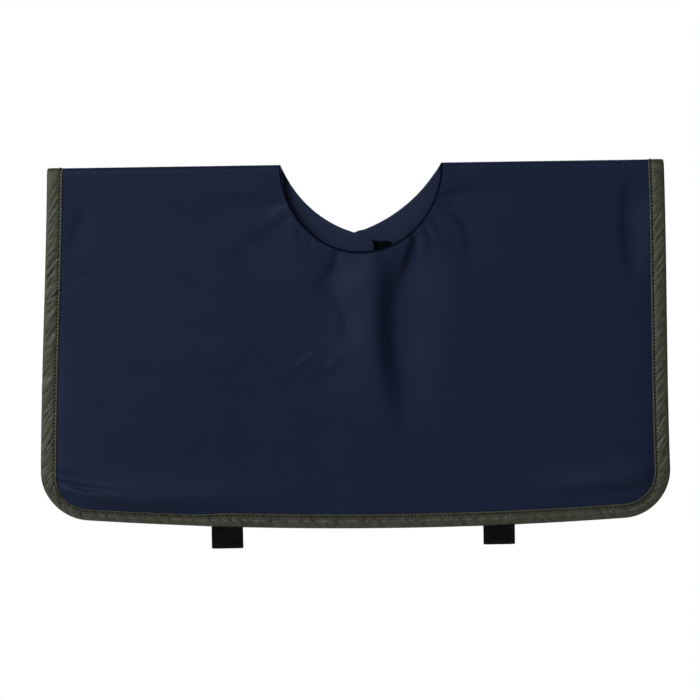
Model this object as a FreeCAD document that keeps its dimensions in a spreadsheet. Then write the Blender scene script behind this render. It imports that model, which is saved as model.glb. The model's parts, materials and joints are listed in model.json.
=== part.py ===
import math
import os

import FreeCAD, Part
import Sketcher

# A dental lead apron of the cape kind, hung by its shoulder fold. Millimetres, +Z up, the front
# panel facing -Y. The origin is the middle of the underside of the shoulder fold. One front
# panel falls from the fold, and two back halves fall behind it and overlap at the nape.
# Every panel is a stack: cover, two lead-vinyl plies and lining, with its edge held in a binding.

SIZES = {
    # the panels' outline, seen from the front
    "shoulder_width": 684.0,
    "hem_width": 698.0,
    "fall": 405.0,
    "corner_radius": 54.0,
    "hem_curve": 4400.0,
    # the stack of layers, outside to inside
    "binding_leg": 0.4,
    "cover": 0.8,
    "ply": 0.65,
    "panel": 2.9,
    "binding_wall": 0.6,
    "binding_width": 17.0,
    # the sewn line on the binding
    "stitch_inset": 14.2,
    "stitch_line": 0.8,
    "stitch_height": 0.3,
    # the fold over the shoulders
    "fold_radius": 8.0,
    "half_gap": 2.3,
    # the neck opening
    "neck_shift": 6.0,
    "neck_half_width": 90.0,
    "front_neck_drop": 98.0,
    "back_neck_half_width": 87.0,
    "left_neck_drop": 77.5,
    "left_neck_curve": 127.0,
    "right_neck_drop": 73.0,
    "right_neck_curve": 166.0,
    "overlap": 31.0,
    "nape_tip_run": 18.0,
    # the corner of the right half that peels open at the nape
    "lapel_top_x": 80.0,
    "lapel_top_drop": 8.0,
    "lapel_foot_drop": 238.0,
    "lapel_kerf": 0.5,
    # the hook-and-loop closure
    "tape_width": 46.0,
    "tape_height": 25.0,
    "tape_thickness": 1.0,
    "hook_tape_x": 10.0,
    "loop_tape_x": -10.0,
    "tape_drop": 99.0,
    "tape_seam_inset": 2.5,
    # the webbing loops under the hem
    "webbing": 1.3,
    "webbing_width": 35.0,
    "loop_drop": 20.5,
    "loop_eye_radius": 4.0,
    "loop_eye_top": 6.0,
    "left_loop_x": -148.5,
    "right_loop_x": 153.5,
    "loop_pivot_drop": 0.1,
    "loop_clearance": 0.1,
    "tail_foot": 1.5,
    "tail_length": 24.0,
    "tack_width": 2.4,
    "tack_height": 0.5,
    "tack_inset": 5.0,
    # room that cutting shapes run past what they cut
    "overrun": 40.0,
    "cutter_depth": 120.0,
}

doc = FreeCAD.newDocument("lead_apron")
sheet = doc.addObject("Spreadsheet::Sheet", "sizes")
for row, (alias, number) in enumerate(SIZES.items(), start=1):
    sheet.set(f"A{row}", alias)
    sheet.set(f"B{row}", str(number))
    sheet.setAlias(f"B{row}", alias)
doc.recompute()


class Length:
    """A length with the expression that keeps it tied to the sheet."""

    def __init__(self, number, text):
        self.number = number
        self.text = text

    def __add__(self, other):
        other = as_length(other)
        return Length(self.number + other.number, f"({self.text} + {other.text})")

    def __sub__(self, other):
        other = as_length(other)
        return Length(self.number - other.number, f"({self.text} - {other.text})")

    def __mul__(self, factor):
        return Length(self.number * factor, f"({self.text} * {factor})")

    def __neg__(self):
        return self * -1


def as_length(value):
    return value if isinstance(value, Length) else Length(value, str(value))


def size(alias):
    return Length(float(sheet.get(alias)), f"sizes.{alias}")


ZERO = as_length(0)
PANEL = size("panel")
CREST = PANEL
NECK_X = size("neck_shift")
FRONT_FOLD = size("fold_radius")
OUTER_FOLD = FRONT_FOLD + size("half_gap") + PANEL
HEM = CREST - size("fall")
OVERRUN = size("overrun")
OVER_CREST = CREST + OVERRUN
UNDER_HEM = HEM - OVERRUN
BACK_EDGE = size("overlap") * 0.5

AXES = {
    "front": FreeCAD.Rotation(FreeCAD.Vector(1, 0, 0), 90),
    "side": FreeCAD.Rotation(FreeCAD.Vector(1, 1, 1), 120),
}
VERTICAL = -2
START, END, CENTRE = 1, 2, 3

# The two curved edges in the outline of a back half.
NECKLINE, ROUNDING = 2, 3

# Rough angles in degrees that arcs are drawn with before the sketch's constraints settle them.
HEM_SPREAD = 3
CORNER_SHORT = 4
BIGHT_FLARE = 15
EYE_FLARE = 30


# ---------------------------------------------------------------- sketches

def plane_sketch(name, axes, owner=None):
    """A sketch on the front plane (x, z) or the side plane (y, z)."""
    if owner is None:
        sketch = doc.addObject("Sketcher::SketchObject", name)
        sketch.Placement = FreeCAD.Placement(FreeCAD.Vector(), AXES[axes])
        return sketch
    role = {"front": "XZ_Plane", "side": "YZ_Plane"}[axes]
    plane = [item for item in owner.Origin.OriginFeatures if item.Role == role][0]
    sketch = owner.newObject("Sketcher::SketchObject", name)
    sketch.AttachmentSupport = [(plane, "")]
    sketch.MapMode = "FlatFace"
    return sketch


def tie(sketch, kind, *where, to):
    """Add a dimension and bind it to the sheet."""
    index = sketch.addConstraint(Sketcher.Constraint(kind, *where, to.number))
    sketch.setExpression(f"Constraints[{index}]", to.text)


def join(sketch, kind, *where):
    sketch.addConstraint(Sketcher.Constraint(kind, *where))


def line(x0, y0, x1, y1):
    return Part.LineSegment(FreeCAD.Vector(x0, y0, 0), FreeCAD.Vector(x1, y1, 0))


def arc(x, y, radius, start, end):
    """A counterclockwise arc about (x, y), from one angle to another in degrees."""
    circle = Part.Circle(FreeCAD.Vector(x, y, 0), FreeCAD.Vector(0, 0, 1), radius)
    return Part.ArcOfCircle(circle, math.radians(start), math.radians(end))


def bulged(x0, y0, x1, y1, radius):
    """A counterclockwise arc of a stated radius, from one point to another."""
    start = FreeCAD.Vector(x0, y0, 0)
    end = FreeCAD.Vector(x1, y1, 0)
    chord = end - start
    reach = (radius ** 2 - chord.Length ** 2 / 4) ** 0.5
    inward = FreeCAD.Vector(-chord.y, chord.x, 0).normalize()
    centre = (start + end) * 0.5 + inward * reach
    turns = [math.degrees(math.atan2(p.y - centre.y, p.x - centre.x)) for p in (start, end)]
    return arc(centre.x, centre.y, radius, turns[0], turns[0] + (turns[1] - turns[0]) % 360)


def place_point(sketch, edge, which, x, y):
    tie(sketch, "DistanceX", edge, which, to=x)
    tie(sketch, "DistanceY", edge, which, to=y)


def polygon(sketch, corners):
    """A closed polygon whose corners are tied to the sheet."""
    first = sketch.GeometryCount
    count = len(corners)
    for index, (x, y) in enumerate(corners):
        next_x, next_y = corners[(index + 1) % count]
        sketch.addGeometry(line(x.number, y.number, next_x.number, next_y.number), False)
    for index, (x, y) in enumerate(corners):
        join(sketch, "Coincident", first + index - 1 if index else first + count - 1, END,
             first + index, START)
        place_point(sketch, first + index, START, x, y)


def panel_outline(name, inset):
    """The panels' shared outline, drawn in from the edge by an inset."""
    sketch = plane_sketch(name, "front")
    top = size("shoulder_width") * 0.5 - inset
    wide = size("hem_width") * 0.5 - inset
    corner = size("corner_radius") - inset
    hem_radius = size("hem_curve") - inset
    low = HEM + inset
    rise = corner.number + low.number
    edges = [
        line(top.number, OVER_CREST.number, wide.number, rise),
        arc(wide.number - corner.number, rise, corner.number, CORNER_SHORT - 90, 0),
        arc(0, low.number + hem_radius.number, hem_radius.number,
            -90 - HEM_SPREAD, HEM_SPREAD - 90),
        arc(corner.number - wide.number, rise, corner.number, 180, 270 - CORNER_SHORT),
        line(-top.number, OVER_CREST.number, -wide.number, rise),
        line(-top.number, OVER_CREST.number, top.number, OVER_CREST.number),
    ]
    sketch.addGeometry(edges, False)
    right, right_corner, hem, left_corner, left, over = range(len(edges))
    join(sketch, "Tangent", right, END, right_corner, END)
    join(sketch, "Tangent", right_corner, START, hem, END)
    join(sketch, "Tangent", hem, START, left_corner, END)
    join(sketch, "Tangent", left_corner, START, left, END)
    join(sketch, "Coincident", left, START, over, START)
    join(sketch, "Coincident", over, END, right, START)
    join(sketch, "PointOnObject", hem, CENTRE, VERTICAL)
    tie(sketch, "DistanceY", hem, CENTRE, to=low + hem_radius)
    tie(sketch, "Radius", hem, to=hem_radius)
    tie(sketch, "Radius", right_corner, to=corner)
    tie(sketch, "Radius", left_corner, to=corner)
    place_point(sketch, right, START, top, OVER_CREST)
    place_point(sketch, left, START, -top, OVER_CREST)
    tie(sketch, "DistanceX", right, END, to=wide)
    tie(sketch, "DistanceX", left, END, to=-wide)
    return sketch


def fold_section(name, side, fold, outer_depth, inner_depth):
    """One layer's section: straight down the panel and a quarter turn over the shoulder.

    side is -1 at the front and +1 at the back. Depths are counted in from the panel's outside.
    """
    sketch = plane_sketch(name, "side")
    outer = fold - outer_depth
    inner = fold - inner_depth
    middle = CREST - fold
    low = UNDER_HEM.number
    turn = (90, 180) if side < 0 else (0, 90)
    face, crown = (END, START) if side < 0 else (START, END)
    sketch.addGeometry([
        arc(0, middle.number, outer.number, *turn),
        arc(0, middle.number, inner.number, *turn),
        line(side * outer.number, middle.number, side * outer.number, low),
        line(side * inner.number, middle.number, side * inner.number, low),
        line(side * outer.number, low, side * inner.number, low),
        line(0, middle.number + outer.number, 0, middle.number + inner.number),
    ], False)
    for edge, radius in ((0, outer), (1, inner)):
        join(sketch, "PointOnObject", edge, CENTRE, VERTICAL)
        tie(sketch, "DistanceY", edge, CENTRE, to=middle)
        tie(sketch, "Radius", edge, to=radius)
        join(sketch, "PointOnObject", edge, crown, VERTICAL)
        join(sketch, "Tangent", edge, face, edge + 2, START)
        join(sketch, "Vertical", edge + 2)
        join(sketch, "Coincident", edge + 2, END, 4, START + edge)
        join(sketch, "Coincident", edge, crown, 5, START + edge)
    join(sketch, "Horizontal", 4)
    tie(sketch, "DistanceY", 4, START, to=UNDER_HEM)
    return sketch


def half_outline(name, side, drop, curve):
    """Where a back half may be: its nape corner, neckline and centre edge.

    side is -1 for the left half and +1 for the right half.
    """
    sketch = plane_sketch(name, "front")
    run = size("nape_tip_run")
    neck = NECK_X + size("back_neck_half_width") * side
    edge = NECK_X - BACK_EDGE * side
    tip = edge + run * side
    tip_z = CREST - drop
    edge_z = tip_z - run
    far = size("hem_width") * side
    points = [(far, OVER_CREST), (neck, OVER_CREST), (neck, CREST), (tip, tip_z),
              (edge, edge_z), (edge, UNDER_HEM), (far, UNDER_HEM)]
    radii = {NECKLINE: curve, ROUNDING: run}
    for index, (x, z) in enumerate(points):
        next_x, next_z = points[(index + 1) % len(points)]
        ends = (x.number, z.number, next_x.number, next_z.number)
        if joint_end(index, side) == END:
            ends = ends[2:] + ends[:2]
        if index in radii:
            sketch.addGeometry(bulged(*ends, radii[index].number), False)
        else:
            sketch.addGeometry(line(*ends), False)
    for index, (x, z) in enumerate(points):
        place_point(sketch, index, joint_end(index, side), x, z)
        following = (index + 1) % len(points)
        join(sketch, "Coincident", index, START + END - joint_end(index, side),
             following, joint_end(following, side))
    for index, radius in radii.items():
        tie(sketch, "Radius", index, to=radius)
    return sketch


def joint_end(index, side):
    """Which end of an edge of half_outline its first corner is on: an arc may run backwards."""
    backwards = (index == NECKLINE and side > 0) or (index == ROUNDING and side < 0)
    return END if backwards else START


# ---------------------------------------------------------------- shapes

def extrusion(name, base, length):
    """Push a sketch out along its own normal, half to each side."""
    body = doc.addObject("Part::Extrusion", name)
    body.Base = base
    body.DirMode = "Normal"
    body.Solid = True
    body.Symmetric = True
    body.LengthFwd = length.number
    body.setExpression("LengthFwd", length.text)
    return body


def through(name, sketch):
    """A cutting shape with a front outline, long enough to pass every panel."""
    return extrusion(name, sketch, size("cutter_depth"))


def layer(name, side, fold, outer_depth, inner_depth):
    sketch = fold_section(f"{name}_section", side, fold, outer_depth, inner_depth)
    return extrusion(f"{name}_sheet", sketch, size("hem_width") + OVERRUN)


def common(name, *shapes):
    item = doc.addObject("Part::MultiCommon", name)
    item.Shapes = shapes
    return item


def cut(name, base, tool):
    item = doc.addObject("Part::Cut", name)
    item.Base = base
    item.Tool = tool
    return item


def fuse(name, *shapes):
    item = doc.addObject("Part::MultiFuse", name)
    item.Shapes = shapes
    return item


def group(name, *shapes):
    item = doc.addObject("Part::Compound", name)
    item.Links = shapes
    return item


def neck_hole():
    """The front neckline: half an ellipse below the crest of the fold."""
    ring = doc.addObject("Part::Ellipse", "front_neckline")
    drop, half = size("front_neck_drop"), size("neck_half_width")
    ring.MajorRadius, ring.MinorRadius = drop.number, half.number
    ring.setExpression("MajorRadius", drop.text)
    ring.setExpression("MinorRadius", half.text)
    upright = FreeCAD.Rotation(FreeCAD.Vector(0, 0, 1), FreeCAD.Vector(1, 0, 0),
                               FreeCAD.Vector(0, 1, 0), "XYZ")
    ring.Placement = FreeCAD.Placement(FreeCAD.Vector(NECK_X.number, 0, CREST.number), upright)
    ring.setExpression("Placement.Base.x", NECK_X.text)
    ring.setExpression("Placement.Base.z", CREST.text)
    return through("front_neck_hole", ring)


def lapel_region(name, kerf):
    """The nape corner of the right half, up to the line that it peels along."""
    sketch = plane_sketch(name, "front")
    top_x = NECK_X + size("lapel_top_x") + kerf
    foot_x = NECK_X - BACK_EDGE
    polygon(sketch, [
        (top_x, CREST - size("lapel_top_drop")),
        (top_x, OVER_CREST),
        (foot_x - OVERRUN, OVER_CREST),
        (foot_x - OVERRUN, CREST - size("lapel_foot_drop")),
        (foot_x + kerf, CREST - size("lapel_foot_drop")),
    ])
    return through(f"{name}_cutter", sketch)


# ---------------------------------------------------------------- regions and depths

EDGE = through("whole_outline", panel_outline("whole", ZERO))
CORE = through("core_outline", panel_outline("core", size("binding_wall")))
WINDOW = through("window_outline", panel_outline("window", size("binding_width")))
SEWN_OUT = through("sewn_outer", panel_outline("sewn_out", size("stitch_inset")))
SEWN_IN = through("sewn_inner",
                  panel_outline("sewn_in", size("stitch_inset") + size("stitch_line")))
NECK = neck_hole()
LEFT = through("left_half_region", half_outline("left_half", -1, size("left_neck_drop"),
                                                size("left_neck_curve")))
RIGHT = through("right_half_region", half_outline("right_half", 1, size("right_neck_drop"),
                                                  size("right_neck_curve")))
LAPEL = lapel_region("lapel", ZERO)
LAPEL_ROOM = lapel_region("lapel_room", size("lapel_kerf"))

LEG = size("binding_leg")
COVER = size("cover")
PLY_JOIN = COVER + size("ply")
PLIES_IN = COVER + size("ply") * 2
STITCH = size("stitch_height")
INNER_Y = PANEL - FRONT_FOLD
LOOP_Y = INNER_Y + STITCH + size("webbing")

parts = {}


# ---------------------------------------------------------------- panels

def shaped(name, sheet_part, keep, drop):
    """Keep what lies inside every region in keep, and cut away each region in drop."""
    shape = common(f"{name}_kept", sheet_part, *keep)
    for index, region in enumerate(drop):
        shape = cut(f"{name}_cut_{index}", shape, region)
    return shape


def face_piece(name, side, fold, depths, keep, drop):
    """A cover or lining: full thickness in the window, and a thin rim inside the binding."""
    face, rim = depths
    field = layer(f"{name}_field", side, fold, *face)
    edge = layer(f"{name}_rim", side, fold, *rim)
    window = shaped(f"{name}_window", field, [WINDOW, *keep], drop)
    border = shaped(f"{name}_border", edge, [CORE, *keep], drop)
    return fuse(name, window, border)


def ply_piece(name, side, fold, depths, keep, drop):
    return finish(name, shaped(name, layer(name, side, fold, *depths), [CORE, *keep], drop))


def binding_piece(name, side, fold, keep, drop):
    """The folded tape that wraps the panel's outer edge."""
    solid = shaped(f"{name}_solid", layer(f"{name}_all", side, fold, ZERO, PANEL),
                   [EDGE, *keep], drop)
    channel = common(f"{name}_channel",
                     layer(f"{name}_inside", side, fold, LEG, PANEL - LEG), CORE)
    hollow = cut(f"{name}_hollow", solid, channel)
    return cut(name, hollow, WINDOW)


def sewn_line(name, side, fold, keep, drop):
    """The seam that holds the binding: one line of thread on each face."""
    rows = []
    for row, depths in (("outside", (-STITCH, ZERO)), ("inside", (PANEL, PANEL + STITCH))):
        thread = layer(f"{name}_{row}", side, fold, *depths)
        band = shaped(f"{name}_{row}_band", thread, [SEWN_OUT, *keep], drop)
        rows.append(cut(f"{name}_{row}_line", band, SEWN_IN))
    return group(name, *rows)


def finish(name, shape):
    shape.Label = name
    parts[name] = shape
    return shape


def panel(prefix, side, fold, keep, drop, bound=True):
    """Every layer of one panel, and the binding round its outer edge."""
    whole = (side, fold)
    finish(f"{prefix}_cover", face_piece(
        f"{prefix}_cover", *whole, ((ZERO, COVER), (LEG, COVER)), keep, drop))
    ply_piece(f"{prefix}_lead_ply_outer", *whole, (COVER, PLY_JOIN), keep, drop)
    ply_piece(f"{prefix}_lead_ply_inner", *whole, (PLY_JOIN, PLIES_IN), keep, drop)
    finish(f"{prefix}_lining", face_piece(
        f"{prefix}_lining", *whole, ((PLIES_IN, PANEL), (PLIES_IN, PANEL - LEG)), keep, drop))
    if bound:
        finish(f"{prefix}_binding", binding_piece(f"{prefix}_binding", *whole, keep, drop))
        finish(f"{prefix}_binding_stitching",
               sewn_line(f"{prefix}_binding_stitching", *whole, keep, drop))


# ---------------------------------------------------------------- closure

def tape(name, centre_x, face_y, side, length, height, proud, window=None):
    """A flat rectangle on a panel's face, standing proud by its thickness towards side."""
    body = doc.addObject("PartDesign::Body", f"{name}_body")
    sketch = plane_sketch(f"{name}_outline", "front", body)
    middle = CREST - size("tape_drop")

    def frame_of(margin):
        left = NECK_X + centre_x - length * 0.5 + margin
        right = NECK_X + centre_x + length * 0.5 - margin
        low = middle - height * 0.5 + margin
        high = middle + height * 0.5 - margin
        return [(left, low), (right, low), (right, high), (left, high)]

    margin, line_width = window if window else (ZERO, None)
    polygon(sketch, frame_of(margin))
    if line_width is not None:
        polygon(sketch, frame_of(margin + line_width))
    pad = body.newObject("PartDesign::Pad", f"{name}_pad")
    pad.Profile = sketch
    pad.Length = proud.number
    pad.setExpression("Length", proud.text)
    pad.Reversed = side > 0
    body.Placement = FreeCAD.Placement(FreeCAD.Vector(0, face_y.number, 0), FreeCAD.Rotation())
    body.setExpression("Placement.Base.y", face_y.text)
    return finish(name, body)


def closure():
    """Loop tape on the left half's outside, hook tape on the right half's inside."""
    width, height, thick = size("tape_width"), size("tape_height"), size("tape_thickness")
    seam = (size("tape_seam_inset"), size("stitch_line"))
    thread = STITCH * 0.5
    loop_x, hook_x = size("loop_tape_x"), size("hook_tape_x")
    loop_face = FRONT_FOLD
    hook_face = OUTER_FOLD - PANEL
    tape("back_left_loop_tape", loop_x, loop_face, 1, width, height, thick)
    tape("back_left_loop_tape_stitching", loop_x, loop_face + thick, 1,
         width, height, thread, seam)
    tape("nape_corner_hook_tape", hook_x, hook_face, -1, width, height, thick)
    tape("nape_corner_hook_tape_stitching", hook_x, OUTER_FOLD, 1,
         width, height, thread, seam)


# ---------------------------------------------------------------- webbing loops

def webbing_body(name, centre_x, width):
    """A body whose side-plane sketch will be padded along x, centred on the loop."""
    body = doc.addObject("PartDesign::Body", f"{name}_body")
    body.Placement = FreeCAD.Placement(FreeCAD.Vector(centre_x.number, 0, 0),
                                       FreeCAD.Rotation())
    body.setExpression("Placement.Base.x", centre_x.text)
    sketch = plane_sketch(f"{name}_section", "side", body)
    pad = body.newObject("PartDesign::Pad", f"{name}_pad")
    pad.Profile = sketch
    pad.SideType = "Symmetric"
    pad.Length = width.number
    pad.setExpression("Length", width.text)
    return body, sketch


def webbing_loop(name, centre_x):
    """The free bight of webbing: two legs from the hem round a small open eye."""
    body, sketch = webbing_body(name, centre_x, size("webbing_width"))
    strap, eye = size("webbing"), size("loop_eye_radius")
    middle = LOOP_Y
    top = HEM - size("loop_pivot_drop") - size("loop_clearance")
    centre = HEM - size("loop_drop") + eye + strap
    apex = top - size("loop_eye_top")
    outer = eye + strap
    sketch.addGeometry([
        line(middle.number - strap.number, top.number, middle.number + strap.number, top.number),
        line(middle.number + strap.number, top.number,
             middle.number + outer.number, centre.number),
        arc(middle.number, centre.number, outer.number, 180 - BIGHT_FLARE, 360 + BIGHT_FLARE),
        line(middle.number - outer.number, centre.number,
             middle.number - strap.number, top.number),
        line(middle.number, apex.number, middle.number + eye.number, centre.number),
        arc(middle.number, centre.number, eye.number, 180 - EYE_FLARE, 360 + EYE_FLARE),
        line(middle.number - eye.number, centre.number, middle.number, apex.number),
    ], False)
    head, right, bight, left, eye_right, eye_arc, eye_left = range(7)
    place_point(sketch, head, START, middle - strap, top)
    place_point(sketch, head, END, middle + strap, top)
    join(sketch, "Coincident", head, END, right, START)
    join(sketch, "Tangent", right, END, bight, END)
    join(sketch, "Tangent", bight, START, left, START)
    join(sketch, "Coincident", left, END, head, START)
    place_point(sketch, bight, CENTRE, middle, centre)
    tie(sketch, "Radius", bight, to=outer)
    place_point(sketch, eye_right, START, middle, apex)
    join(sketch, "Coincident", eye_left, END, eye_right, START)
    join(sketch, "Tangent", eye_right, END, eye_arc, END)
    join(sketch, "Tangent", eye_arc, START, eye_left, START)
    place_point(sketch, eye_arc, CENTRE, middle, centre)
    tie(sketch, "Radius", eye_arc, to=eye)
    return finish(name, body)


def webbing_slab(name, centre_x, width, near_y, far_y, low, high):
    """A flat run of webbing or thread against the front panel's lining side."""
    body, sketch = webbing_body(name, centre_x, width)
    polygon(sketch, [(near_y, low), (far_y, low), (far_y, high), (near_y, high)])
    return finish(name, body)


def hanger_loop(side_name, centre_x):
    webbing_loop(f"{side_name}_hanger_loop", centre_x)
    root = HEM + size("tail_foot")
    face = INNER_Y + STITCH
    back = face + size("webbing") * 2
    tail_top = root + size("tail_length")
    webbing_slab(f"{side_name}_loop_tails", centre_x, size("webbing_width"),
                 face, back, root, tail_top)
    tack_low = root + size("tack_inset")
    webbing_slab(f"{side_name}_loop_bar_tack", centre_x,
                 size("webbing_width") - size("tack_width") * 2,
                 back, back + size("tack_height"), tack_low, tack_low + size("tack_width"))


panel("front", -1, FRONT_FOLD, [], [NECK])
panel("back_left", 1, FRONT_FOLD, [LEFT], [])
panel("back_right", 1, OUTER_FOLD, [RIGHT], [LAPEL_ROOM])
panel("nape_corner", 1, OUTER_FOLD, [RIGHT, LAPEL], [], bound=False)
closure()
hanger_loop("left", size("left_loop_x"))
hanger_loop("right", size("right_loop_x"))

doc.recompute()


# ---------------------------------------------------------------- check and write

for item in doc.Objects:
    if {"Invalid", "Error"} & set(item.State):
        raise RuntimeError(f"{item.Name} failed: {item.State}")
for name, item in parts.items():
    if item.Shape.isNull() or not item.Shape.isValid() or not item.Shape.Solids:
        raise RuntimeError(f"{name} has no valid solid")

os.makedirs("parts", exist_ok=True)
for name, item in parts.items():
    item.Shape.exportStep(f"parts/{name}.step")
    box = item.Shape.BoundBox
    print(f"{name}: {len(item.Shape.Solids)} solids, {item.Shape.Volume / 1000:.2f} cm3,"
          f" z {box.ZMin:.2f} to {box.ZMax:.2f}, y {box.YMin:.2f} to {box.YMax:.2f}")
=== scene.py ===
import json
import math
import random

import bmesh
import bpy
import numpy as np
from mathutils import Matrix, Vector
from mathutils.geometry import delaunay_2d_cdt


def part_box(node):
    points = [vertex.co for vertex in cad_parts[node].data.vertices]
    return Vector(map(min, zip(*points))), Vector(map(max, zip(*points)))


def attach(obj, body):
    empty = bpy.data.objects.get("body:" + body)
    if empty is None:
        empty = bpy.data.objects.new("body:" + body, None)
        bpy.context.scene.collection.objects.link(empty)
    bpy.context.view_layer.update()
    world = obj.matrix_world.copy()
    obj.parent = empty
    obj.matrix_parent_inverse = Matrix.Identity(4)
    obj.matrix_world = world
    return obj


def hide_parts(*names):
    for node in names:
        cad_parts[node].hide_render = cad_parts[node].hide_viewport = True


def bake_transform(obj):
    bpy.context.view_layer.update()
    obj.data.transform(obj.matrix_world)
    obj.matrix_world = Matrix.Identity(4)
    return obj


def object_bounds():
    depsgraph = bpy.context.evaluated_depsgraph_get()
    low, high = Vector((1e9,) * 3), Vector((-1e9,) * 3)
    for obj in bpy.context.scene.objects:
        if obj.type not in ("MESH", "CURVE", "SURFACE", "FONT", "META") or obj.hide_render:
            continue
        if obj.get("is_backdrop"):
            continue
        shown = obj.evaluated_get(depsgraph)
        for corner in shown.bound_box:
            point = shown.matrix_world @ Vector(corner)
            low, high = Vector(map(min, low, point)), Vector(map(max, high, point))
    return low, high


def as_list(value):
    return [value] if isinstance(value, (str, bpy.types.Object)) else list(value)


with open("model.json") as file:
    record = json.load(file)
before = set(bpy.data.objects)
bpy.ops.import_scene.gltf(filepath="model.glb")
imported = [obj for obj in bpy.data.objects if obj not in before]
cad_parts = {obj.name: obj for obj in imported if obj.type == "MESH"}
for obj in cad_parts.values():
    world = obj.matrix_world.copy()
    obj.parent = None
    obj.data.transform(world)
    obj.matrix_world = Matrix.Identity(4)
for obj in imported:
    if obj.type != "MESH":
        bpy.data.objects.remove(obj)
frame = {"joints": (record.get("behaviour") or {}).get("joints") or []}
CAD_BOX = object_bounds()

# A dental lead apron of the cape kind. Metres. Every panel is worked out flat: x runs across it and
# v is the length of sheet from the crest of the shoulder fold. A Drape then hangs that flat sheet
# over the fold, and its creases push the sheet out or in.

MM = 0.001

# ---------------------------------------------------------------- sizes from the frame

front_low, front_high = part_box("front_binding")
CREST = front_high.z
FRONT_FOLD = -front_low.y
HALF_HEM = front_high.x
HEM_DROP = CREST - front_low.z
RIGHT_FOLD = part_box("back_right_binding")[1].y
PANEL = CREST
STITCH_INSET = HALF_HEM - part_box("front_binding_stitching")[1].x
BACK_EDGE_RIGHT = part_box("nape_corner_cover")[0].x
BACK_EDGE_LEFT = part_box("back_left_cover")[1].x
NECK_X = (BACK_EDGE_RIGHT + BACK_EDGE_LEFT) / 2
JOINTS = {joint["name"]: joint for joint in frame["joints"]}
LOOPS = [JOINTS[f"{side}_loop_swing"]["pos_m"][0] for side in ("left", "right")]

# ---------------------------------------------------------------- sizes of the soft pieces

COVER_DEPTHS = (0, 0.8 * MM)
OUTER_PLY_DEPTHS = (0.85 * MM, 1.42 * MM)
INNER_PLY_DEPTHS = (1.48 * MM, 2.05 * MM)
LINING_DEPTHS = (2.1 * MM, PANEL)
TURN_ROUND = PANEL / 2        # how round the sheet's open edges are
EDGE_GAP = 0.12 * MM
UNDER_BINDING = 0.45 * MM     # how much thinner the panel is inside the binding
BINDING_WIDTH = 17 * MM
HEM_CURL_REACH = 24 * MM      # how much of the front curls back above its hem
LOOP_REACH = 26 * MM          # how far to each side a webbing loop holds the hem flatter
HEM_HOLLOW = 10.6 * MM        # where the binding sinks in along the hem, just below its stitches
DEEPEST_FRONT = -6.2 * MM     # the furthest that a valley reaches towards what lies behind
DEEPEST_BACK = -1.2 * MM
LEFT_DIP_X = 78 * MM          # where, left of the middle, the left half dips to the front
HEM_ZONE = (350 * MM, 385 * MM)         # the drops over which the curl and the hollow set in
TAPE_ROLLS = (345 * MM, 388 * MM)       # the drops over which the tape starts to roll under
PANEL_INSET = 0.9 * MM
PLY_INSET = 3 * MM
PLY_OPEN_INSET = 12 * MM      # the plies stop further in at the open edges
HALF_SHOULDER = 342 * MM
LEAN = -5 * MM                # how far the hem hangs to one side of square
SKEW = 0.026                  # how much further down one side hangs than the other, per metre
HEM_CURVE = 4.4
CORNER = 54 * MM
NECK_HALF = 89 * MM
FRONT_NECK_DROP = 98 * MM
LEFT_NECK = (77.5 * MM, 127 * MM)     # how deep a back half's neckline is, and its radius
RIGHT_NECK = (73 * MM, 166 * MM)
TIP = 18 * MM                 # the rounding of the nape corners
BAND = 12 * MM                # the part of the right half that bends with the shoulder fold
STITCH_PITCH, STITCH_LENGTH, STITCH_THICK, STITCH_BOW = 4.1 * MM, 2.1 * MM, 1.6 * MM, 0.25 * MM
FINE, COARSE, PLY_GAP = 2.2 * MM, 4 * MM, 5 * MM


# ---------------------------------------------------------------- lines on the flat sheet

def ramp(value, start, end):
    share = np.clip((value - start) / (end - start), 0, 1)
    return share * share * (3 - 2 * share)


def sheet_length(drop, radius):
    """The length of sheet from the crest to a point that far below it."""
    turn = np.arccos(np.clip(1 - drop / radius, -1, 1))
    return np.where(drop < radius, radius * turn, radius * math.pi / 2 + drop - radius)


def flattened(line, radius):
    """A line of (x, drop) as one on the flat sheet, (x, v)."""
    return np.column_stack([line[:, 0], sheet_length(line[:, 1], radius)])


def lengths_along(line):
    return np.concatenate([[0], np.cumsum(np.linalg.norm(np.diff(line, axis=0), axis=1))])


def spaced(line, gap):
    """The same line with its points a gap apart, both ends kept."""
    reach = lengths_along(line)
    along = np.linspace(0, reach[-1], max(2, int(round(reach[-1] / gap)) + 1))
    return np.column_stack([np.interp(along, reach, line[:, k]) for k in range(line.shape[1])])


def joined(*runs):
    """Lines end to end as one closed outline, with no point twice."""
    points = np.vstack(runs)
    step = np.linalg.norm(points - np.roll(points, 1, axis=0), axis=1)
    return points[step > 0.05 * MM]


def arc_points(centre, radius, start, end, count):
    turns = np.radians(np.linspace(start, end, count))
    return np.column_stack([centre[0] + radius * np.cos(turns), centre[1] + radius * np.sin(turns)])


def near_line(points, line):
    """Each point's distance to a line, and how far along the line that is, in metres."""
    best = np.full(len(points), np.inf)
    along = np.zeros(len(points))
    reach = lengths_along(line)
    for index, (start, step) in enumerate(zip(line[:-1], np.diff(line, axis=0))):
        length = reach[index + 1] - reach[index]
        share = np.clip(((points - start) @ step) / max(length ** 2, 1e-18), 0, 1)
        gap = np.hypot(*(points - start - share[:, None] * step).T)
        closer = gap < best
        best = np.where(closer, gap, best)
        along = np.where(closer, reach[index] + share * length, along)
    return best, along


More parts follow.
